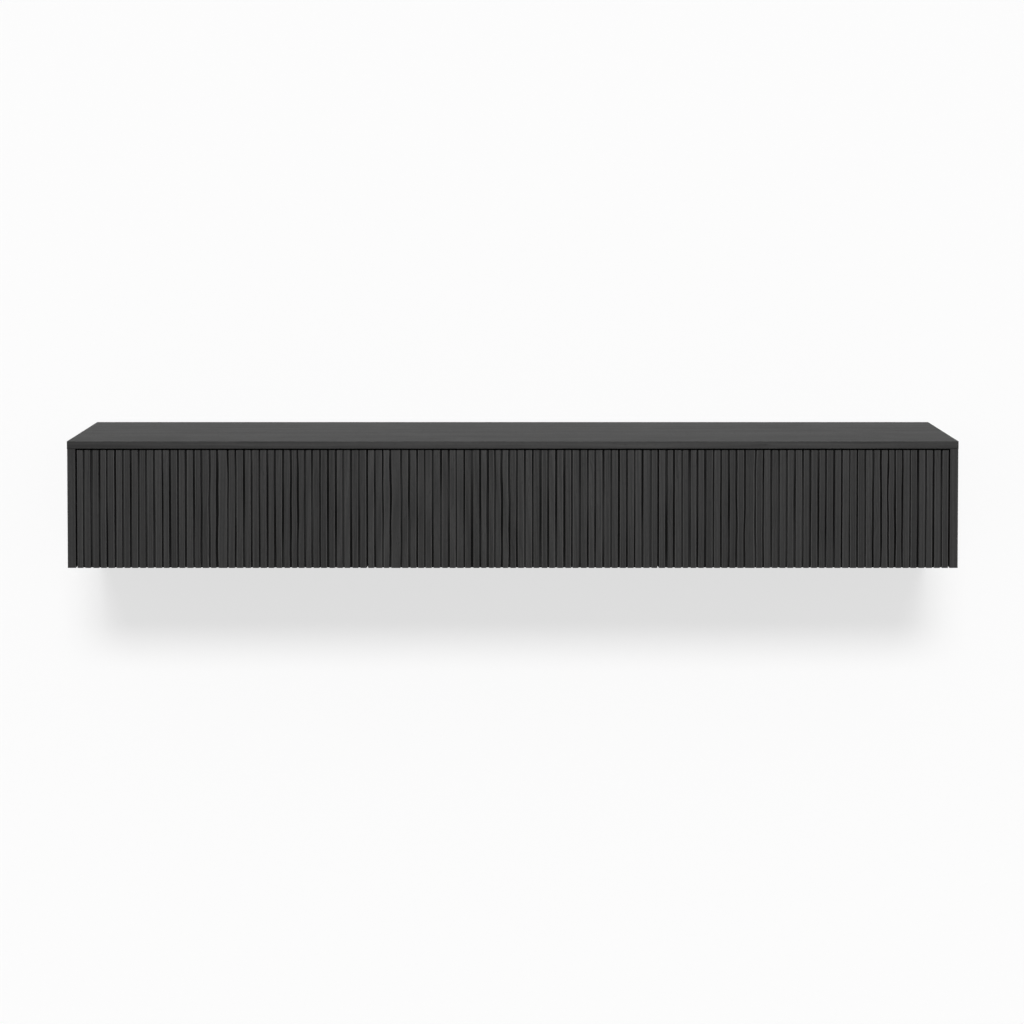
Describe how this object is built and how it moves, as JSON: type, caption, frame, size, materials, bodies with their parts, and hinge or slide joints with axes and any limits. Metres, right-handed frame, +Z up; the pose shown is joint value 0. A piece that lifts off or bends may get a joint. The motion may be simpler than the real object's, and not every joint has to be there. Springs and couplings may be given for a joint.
{
  "type": "floating media console",
  "caption": "Wall-hung media console with slatted drop-down fronts on brake stays, push-to-open latches, divided bays and rear cable outlets.",
  "frame": {"origin": "under the middle of the console, at its underside, halfway between front and wall", "axes": "+X to the right along the length, +Y from the front to the wall, +Z up"},
  "size_m": [2.1, 0.4, 0.3],
  "materials": {
    "black_oak_top": "black stain, satin lacquer",
    "black_oak_panel": "black stain, matt lacquer",
    "black_oak_slat": "black stain, matt lacquer",
    "black_board": "black melamine, matt",
    "zinc_steel": "zinc plated",
    "screw_steel": "zinc plated",
    "nickel_steel": "nickel plated",
    "cast_zinc": "nickel plated casting",
    "black_plastic": "matt",
    "grey_plastic": "matt",
    "beech": "bare"
  },
  "bodies": {
    "cabinet": {"top_panel": "black_oak_top", "bottom_panel": "black_oak_panel", "left_side_panel": "black_oak_panel", "right_side_panel": "black_oak_panel", "left_divider": "black_board", "right_divider": "black_board", "back_panel": "black_board", "cabinet_rail": "zinc_steel", "wall_rail": "zinc_steel", "rail_screws": "screw_steel", "carcass_dowels": "beech", "cam_discs": "cast_zinc", "cam_bolts": "screw_steel", "divider_screws": "screw_steel", "back_screws": "screw_steel", "cabinet_hinge_leaves": "nickel_steel", "hinge_pins": "nickel_steel", "stay_mount_plates": "zinc_steel", "cabinet_screws": "screw_steel", "left_cable_grommet": "black_plastic", "left_latch_body": "grey_plastic", "centre_cable_grommet": "black_plastic", "centre_latch_body": "grey_plastic", "right_cable_grommet": "black_plastic", "right_latch_body": "grey_plastic"},
    "left_front": {"left_front_board": "black_board", "left_front_slats": "black_oak_slat", "left_front_hinge_leaves": "nickel_steel", "left_front_stay_brackets": "nickel_steel", "left_front_strike_plate": "nickel_steel", "left_front_screws": "screw_steel"},
    "left_front_left_arm": {"left_front_left_arm": "nickel_steel"},
    "left_front_left_swivel": {"left_front_left_swivel": "cast_zinc"},
    "left_front_right_arm": {"left_front_right_arm": "nickel_steel"},
    "left_front_right_swivel": {"left_front_right_swivel": "cast_zinc"},
    "left_latch_plunger": {"left_latch_plunger": "grey_plastic"},
    "centre_front": {"centre_front_board": "black_board", "centre_front_slats": "black_oak_slat", "centre_front_hinge_leaves": "nickel_steel", "centre_front_stay_brackets": "nickel_steel", "centre_front_strike_plate": "nickel_steel", "centre_front_screws": "screw_steel"},
    "centre_front_left_arm": {"centre_front_left_arm": "nickel_steel"},
    "centre_front_left_swivel": {"centre_front_left_swivel": "cast_zinc"},
    "centre_front_right_arm": {"centre_front_right_arm": "nickel_steel"},
    "centre_front_right_swivel": {"centre_front_right_swivel": "cast_zinc"},
    "centre_latch_plunger": {"centre_latch_plunger": "grey_plastic"},
    "right_front": {"right_front_board": "black_board", "right_front_slats": "black_oak_slat", "right_front_hinge_leaves": "nickel_steel", "right_front_stay_brackets": "nickel_steel", "right_front_strike_plate": "nickel_steel", "right_front_screws": "screw_steel"},
    "right_front_left_arm": {"right_front_left_arm": "nickel_steel"},
    "right_front_left_swivel": {"right_front_left_swivel": "cast_zinc"},
    "right_front_right_arm": {"right_front_right_arm": "nickel_steel"},
    "right_front_right_swivel": {"right_front_right_swivel": "cast_zinc"},
    "right_latch_plunger": {"right_latch_plunger": "grey_plastic"}
  },
  "joints": [
    {"name": "left_front_hinge", "type": "hinge", "parent": "cabinet", "child": "left_front", "pos_m": [-0.68583, -0.1865, 0.0045], "axis": [1, 0, 0], "range_deg": [0, 90]},
    {"name": "left_front_left_arm_pivot", "type": "hinge", "parent": "left_front", "child": "left_front_left_arm", "pos_m": [-1.0165, -0.162, 0.1545], "axis": [1, 0, 0], "range_deg": [-45, 0]},
    {"name": "left_front_left_swivel_pivot", "type": "hinge", "parent": "cabinet", "child": "left_front_left_swivel", "pos_m": [-1.0165, -0.11051, 0.13612], "axis": [1, 0, 0], "range_deg": [0, 45]},
    {"name": "left_front_right_arm_pivot", "type": "hinge", "parent": "left_front", "child": "left_front_right_arm", "pos_m": [-0.36642, -0.162, 0.1545], "axis": [1, 0, 0], "range_deg": [-45, 0]},
    {"name": "left_front_right_swivel_pivot", "type": "hinge", "parent": "cabinet", "child": "left_front_right_swivel", "pos_m": [-0.36642, -0.11051, 0.13612], "axis": [1, 0, 0], "range_deg": [0, 45]},
    {"name": "left_latch_press", "type": "slide", "parent": "cabinet", "child": "left_latch_plunger", "axis": [0, 1, 0], "range_m": [0, 0.0025], "stiffness_N_per_m": 900},
    {"name": "centre_front_hinge", "type": "hinge", "parent": "cabinet", "child": "centre_front", "pos_m": [0, -0.1865, 0.0045], "axis": [1, 0, 0], "range_deg": [0, 90]},
    {"name": "centre_front_left_arm_pivot", "type": "hinge", "parent": "centre_front", "child": "centre_front_left_arm", "pos_m": [-0.31942, -0.162, 0.1545], "axis": [1, 0, 0], "range_deg": [-45, 0]},
    {"name": "centre_front_left_swivel_pivot", "type": "hinge", "parent": "cabinet", "child": "centre_front_left_swivel", "pos_m": [-0.31942, -0.11051, 0.13612], "axis": [1, 0, 0], "range_deg": [0, 45]},
    {"name": "centre_front_right_arm_pivot", "type": "hinge", "parent": "centre_front", "child": "centre_front_right_arm", "pos_m": [0.31942, -0.162, 0.1545], "axis": [1, 0, 0], "range_deg": [-45, 0]},
    {"name": "centre_front_right_swivel_pivot", "type": "hinge", "parent": "cabinet", "child": "centre_front_right_swivel", "pos_m": [0.31942, -0.11051, 0.13612], "axis": [1, 0, 0], "range_deg": [0, 45]},
    {"name": "centre_latch_press", "type": "slide", "parent": "cabinet", "child": "centre_latch_plunger", "axis": [0, 1, 0], "range_m": [0, 0.0025], "stiffness_N_per_m": 900},
    {"name": "right_front_hinge", "type": "hinge", "parent": "cabinet", "child": "right_front", "pos_m": [0.68583, -0.1865, 0.0045], "axis": [1, 0, 0], "range_deg": [0, 90]},
    {"name": "right_front_left_arm_pivot", "type": "hinge", "parent": "right_front", "child": "right_front_left_arm", "pos_m": [0.36642, -0.162, 0.1545], "axis": [1, 0, 0], "range_deg": [-45, 0]},
    {"name": "right_front_left_swivel_pivot", "type": "hinge", "parent": "cabinet", "child": "right_front_left_swivel", "pos_m": [0.36642, -0.11051, 0.13612], "axis": [1, 0, 0], "range_deg": [0, 45]},
    {"name": "right_front_right_arm_pivot", "type": "hinge", "parent": "right_front", "child": "right_front_right_arm", "pos_m": [1.0165, -0.162, 0.1545], "axis": [1, 0, 0], "range_deg": [-45, 0]},
    {"name": "right_front_right_swivel_pivot", "type": "hinge", "parent": "cabinet", "child": "right_front_right_swivel", "pos_m": [1.0165, -0.11051, 0.13612], "axis": [1, 0, 0], "range_deg": [0, 45]},
    {"name": "right_latch_press", "type": "slide", "parent": "cabinet", "child": "right_latch_plunger", "axis": [0, 1, 0], "range_m": [0, 0.0025], "stiffness_N_per_m": 900}
  ],
  "couplings": [
    {"joint": "left_front_left_arm_pivot", "follows": "left_front_hinge", "ratio": -0.5},
    {"joint": "left_front_left_swivel_pivot", "follows": "left_front_hinge", "ratio": 0.5},
    {"joint": "left_front_right_arm_pivot", "follows": "left_front_hinge", "ratio": -0.5},
    {"joint": "left_front_right_swivel_pivot", "follows": "left_front_hinge", "ratio": 0.5},
    {"joint": "centre_front_left_arm_pivot", "follows": "centre_front_hinge", "ratio": -0.5},
    {"joint": "centre_front_left_swivel_pivot", "follows": "centre_front_hinge", "ratio": 0.5},
    {"joint": "centre_front_right_arm_pivot", "follows": "centre_front_hinge", "ratio": -0.5},
    {"joint": "centre_front_right_swivel_pivot", "follows": "centre_front_hinge", "ratio": 0.5},
    {"joint": "right_front_left_arm_pivot", "follows": "right_front_hinge", "ratio": -0.5},
    {"joint": "right_front_left_swivel_pivot", "follows": "right_front_hinge", "ratio": 0.5},
    {"joint": "right_front_right_arm_pivot", "follows": "right_front_hinge", "ratio": -0.5},
    {"joint": "right_front_right_swivel_pivot", "follows": "right_front_hinge", "ratio": 0.5}
  ]
}
